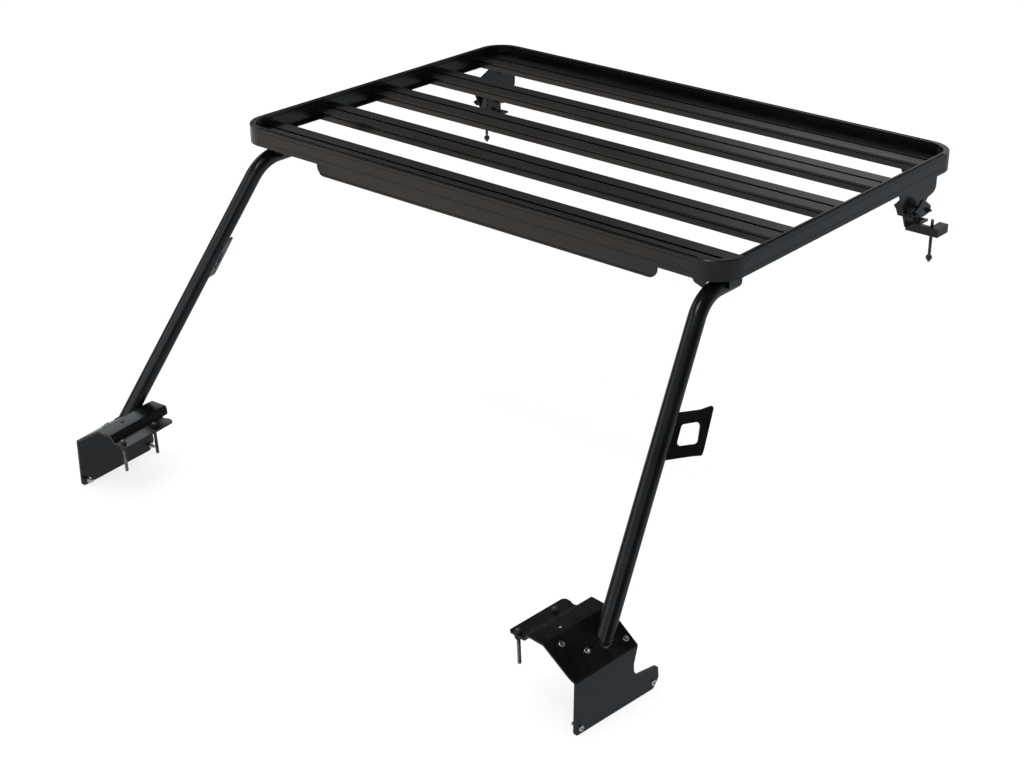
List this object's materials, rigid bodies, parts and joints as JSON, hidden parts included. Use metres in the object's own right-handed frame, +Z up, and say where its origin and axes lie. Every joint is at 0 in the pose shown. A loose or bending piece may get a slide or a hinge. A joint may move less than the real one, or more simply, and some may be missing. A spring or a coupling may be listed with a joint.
{
  "type": "flat platform roof rack",
  "caption": "Flat slatted roof platform with a wind deflector, bent front legs on cowl brackets and rear gutter clamps.",
  "frame": {"origin": "underside of the right cowl bracket's flat, beside its bolt hole", "axes": "+X along the slats to the rack's right side, +Y from the near rail with the deflector towards the far rail, +Z up"},
  "size_m": [1.5913, 1.4801, 0.7972],
  "materials": {
    "rail_coat": "satin black powder coat on extruded aluminium",
    "slat_coat": "satin black powder coat on extruded aluminium",
    "corner_coat": "satin black powder coat on cast aluminium",
    "sheet_coat": "fine-textured black powder coat on bent steel sheet",
    "tube_coat": "satin black powder coat on steel tube",
    "zinc": "zinc-plated steel fasteners"
  },
  "bodies": {
    "root": {"near_rail": "rail_coat", "far_rail": "rail_coat", "left_rail": "rail_coat", "right_rail": "rail_coat", "near_left_corner": "corner_coat", "near_right_corner": "corner_coat", "far_left_corner": "corner_coat", "far_right_corner": "corner_coat", "slat_1": "slat_coat", "slat_2": "slat_coat", "slat_3": "slat_coat", "slat_4": "slat_coat", "slat_5": "slat_coat", "tray_bolts": "zinc", "wind_deflector": "sheet_coat", "left_leg": "tube_coat", "right_leg": "tube_coat", "left_leg_mount": "sheet_coat", "right_leg_mount": "sheet_coat", "left_loop": "sheet_coat", "right_loop": "sheet_coat", "left_cowl_bracket": "sheet_coat", "right_cowl_bracket": "sheet_coat", "left_cowl_studs": "zinc", "right_cowl_studs": "zinc", "left_cowl_bolts": "zinc", "right_cowl_bolts": "zinc", "left_side_plate": "sheet_coat", "right_side_plate": "sheet_coat", "left_jaw": "sheet_coat", "right_jaw": "sheet_coat", "left_jaw_bolts": "zinc", "right_jaw_bolts": "zinc", "left_arm": "sheet_coat", "right_arm": "sheet_coat", "left_draw_bolt": "zinc", "right_draw_bolt": "zinc", "left_draw_nut": "zinc", "right_draw_nut": "zinc"}
  },
  "joints": []
}
